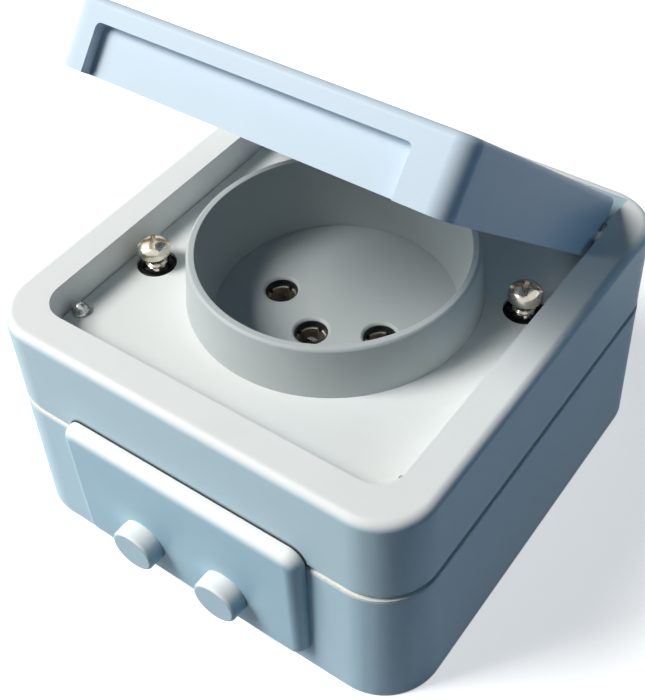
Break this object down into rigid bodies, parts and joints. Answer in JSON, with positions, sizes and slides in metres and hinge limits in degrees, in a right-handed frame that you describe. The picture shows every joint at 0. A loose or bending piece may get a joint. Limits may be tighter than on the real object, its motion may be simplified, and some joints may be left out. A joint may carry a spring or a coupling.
{
  "type": "socket outlet",
  "caption": "Surface-mounted wall socket box with a hinged lid, a round collar around a three-hole well and a two-button side module.",
  "frame": {"origin": "centre of the base's back face, in the plane of the wall", "axes": "+Z away from the wall towards the socket face, -Y towards the button module, +Y towards the lid hinge, +X to the right seen with the buttons in front"},
  "size_m": [0.0764, 0.0836, 0.0837],
  "materials": {
    "base_box": "satin moulded grey",
    "cover_frame": "satin moulded light grey",
    "gasket_rubber": "cream soft",
    "insert_plastic": "satin moulded grey",
    "carrier_plastic": "plain",
    "contact_metal": "sprung",
    "terminal_brass": "machined",
    "screw_steel": "zinc plated",
    "screw_nickel": "nickel plated",
    "captive_black": "black",
    "pin_metal": "polished dome",
    "lid_plastic": "satin moulded blue grey",
    "seal_rubber": "dark soft",
    "hinge_steel": "plain",
    "module_plastic": "satin moulded grey",
    "button_plastic": "satin moulded grey",
    "case_plastic": "plain dark",
    "dark_plastic": "plain dark",
    "board_laminate": "green laminate",
    "core_grey": "coated",
    "grommet_rubber": "soft"
  },
  "bodies": {
    "housing": {"base_box": "base_box", "cable_grommet": "grommet_rubber", "captive_ring_left": "captive_black", "captive_ring_right": "captive_black", "carrier_screws": "screw_steel", "contact_carrier": "carrier_plastic", "contact_earth": "contact_metal", "contact_line": "contact_metal", "contact_neutral": "contact_metal", "corner_pin": "pin_metal", "cover_frame": "cover_frame", "cover_screw_left": "screw_nickel", "cover_screw_right": "screw_nickel", "hinge_pin_left": "hinge_steel", "hinge_pin_right": "hinge_steel", "joint_gasket": "gasket_rubber", "module_board": "board_laminate", "module_case": "case_plastic", "module_plate": "module_plastic", "module_screws": "screw_steel", "sensing_core": "core_grey", "socket_collar": "insert_plastic", "socket_face": "insert_plastic", "socket_insert": "insert_plastic", "strain_relief_bar": "carrier_plastic", "strain_relief_screws": "screw_steel", "switch_left": "dark_plastic", "switch_right": "dark_plastic", "terminal_clamp_earth": "terminal_brass", "terminal_clamp_line": "terminal_brass", "terminal_clamp_neutral": "terminal_brass", "terminal_screws": "screw_steel", "trip_relay": "dark_plastic"},
    "lid": {"lid_shell": "lid_plastic", "lid_seal": "seal_rubber"},
    "left_button": {"button_left": "button_plastic", "actuator_left": "case_plastic"},
    "right_button": {"button_right": "button_plastic", "actuator_right": "case_plastic"}
  },
  "joints": [
    {"name": "lid_hinge", "type": "hinge", "parent": "housing", "child": "lid", "pos_m": [0, 0.0279, 0.0397], "axis": [-1, 0, 0], "range_deg": [-41.3, 48]},
    {"name": "left_button_press", "type": "slide", "parent": "housing", "child": "left_button", "axis": [0, 1, 0], "range_m": [0, 0.0015], "stiffness_N_per_m": 300, "springref_m": -0.002},
    {"name": "right_button_press", "type": "slide", "parent": "housing", "child": "right_button", "axis": [0, 1, 0], "range_m": [0, 0.0015], "stiffness_N_per_m": 300, "springref_m": -0.002}
  ]
}
